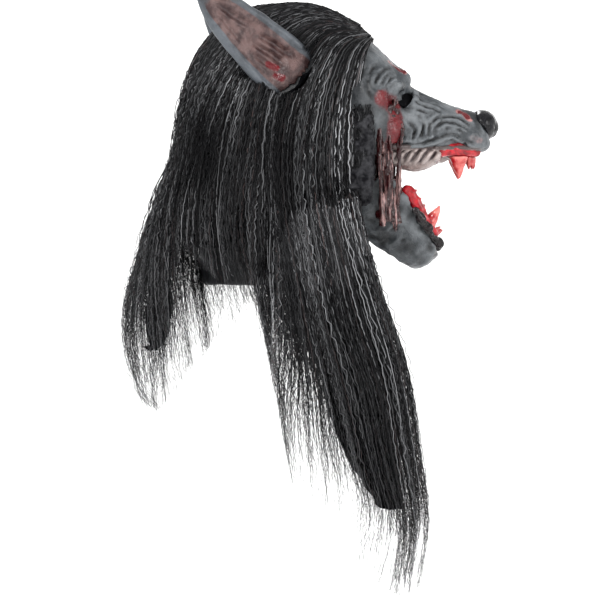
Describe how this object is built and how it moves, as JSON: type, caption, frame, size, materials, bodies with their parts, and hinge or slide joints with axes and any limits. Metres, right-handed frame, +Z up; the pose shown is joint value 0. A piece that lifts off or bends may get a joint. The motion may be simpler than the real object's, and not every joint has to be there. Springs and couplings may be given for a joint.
{
  "type": "overhead wolf mask",
  "caption": "Overhead latex wolf mask in profile-true form: snarling muzzle, open flexing jaw, fangs, swept ears, foam pads and long free-hanging hair.",
  "frame": {"origin": "centre of the crown pad's flat underside, where the top of the wearer's head rests", "axes": "+X the way the face looks, +Y the mask's left, +Z up"},
  "size_m": [0.3981, 0.239, 0.6185],
  "materials": {
    "skin_latex": "satin painted latex, dark slate grey",
    "ear_latex": "satin painted latex, slate grey with a pink-brown inside",
    "nose_gloss": "wet gloss",
    "mouth_lining": "satin, ridged",
    "tongue": "wet gloss",
    "gum_red": "wet gloss",
    "teeth": "gloss, blood-stained",
    "eye_mesh": "fine black mesh",
    "torn_latex": "wet gloss, torn strands",
    "foam": "soft open foam",
    "backing_cloth": "woven cloth",
    "hair": "crimped synthetic hair, charcoal with grey strands"
  },
  "bodies": {
    "head": {"head_skin": "skin_latex", "muzzle_skin": "skin_latex", "nose_pad": "nose_gloss", "palate": "mouth_lining", "upper_gum": "gum_red", "upper_fangs": "teeth", "upper_incisors": "teeth", "upper_molars": "teeth", "eye_mesh_right": "eye_mesh", "eye_mesh_left": "eye_mesh", "crown_pad": "foam", "brow_pad": "foam", "nape_pad": "foam", "hair_backing": "backing_cloth", "crown_hair": "hair", "back_hair": "hair", "side_hair_right": "hair", "side_hair_left": "hair", "cheek_fur_right": "hair", "cheek_fur_left": "hair", "ear_root_right": "ear_latex", "ear_root_left": "ear_latex", "throat_web": "skin_latex", "cheek_sinew_right": "torn_latex", "cheek_sinew_left": "torn_latex"},
    "jaw": {"jaw_skin": "skin_latex", "lower_gum": "gum_red", "lower_fangs": "teeth", "lower_incisors": "teeth", "lower_molars": "teeth", "tongue": "tongue", "chin_cup": "foam"},
    "ear_right": {"ear_right": "ear_latex"},
    "ear_left": {"ear_left": "ear_latex"},
    "mane": {"mane": "hair"},
    "lock_right": {"lock_right": "hair"},
    "lock_left": {"lock_left": "hair"}
  },
  "joints": [
    {"name": "jaw_flex", "type": "hinge", "parent": "head", "child": "jaw", "pos_m": [0.045, 0, -0.12965], "axis": [0, 1, 0], "range_deg": [-12, 4], "stiffness_Nm_per_rad": 4, "deforming": ["cheek_sinew_right", "cheek_sinew_left", "throat_web"]},
    {"name": "ear_right_flex", "type": "hinge", "parent": "head", "child": "ear_right", "pos_m": [-0.004, -0.074, -0.05565], "axis": [0.6069, 0.148, 0.7809], "range_deg": [-8, 8], "stiffness_Nm_per_rad": 3, "deforming": ["ear_root_right"]},
    {"name": "ear_left_flex", "type": "hinge", "parent": "head", "child": "ear_left", "pos_m": [-0.004, 0.074, -0.05565], "axis": [-0.6069, 0.148, -0.7809], "range_deg": [-8, 8], "stiffness_Nm_per_rad": 3, "deforming": ["ear_root_left"]},
    {"name": "mane_swing", "type": "hinge", "parent": "head", "child": "mane", "pos_m": [-0.133, 0, -0.22165], "axis": [0, -1, 0], "range_deg": [-12, 3]},
    {"name": "lock_right_swing", "type": "hinge", "parent": "head", "child": "lock_right", "pos_m": [0.032, -0.099, -0.23565], "axis": [0, -1, 0], "range_deg": [-3, 12]},
    {"name": "lock_left_swing", "type": "hinge", "parent": "head", "child": "lock_left", "pos_m": [0.032, 0.099, -0.23565], "axis": [0, -1, 0], "range_deg": [-3, 12]}
  ]
}
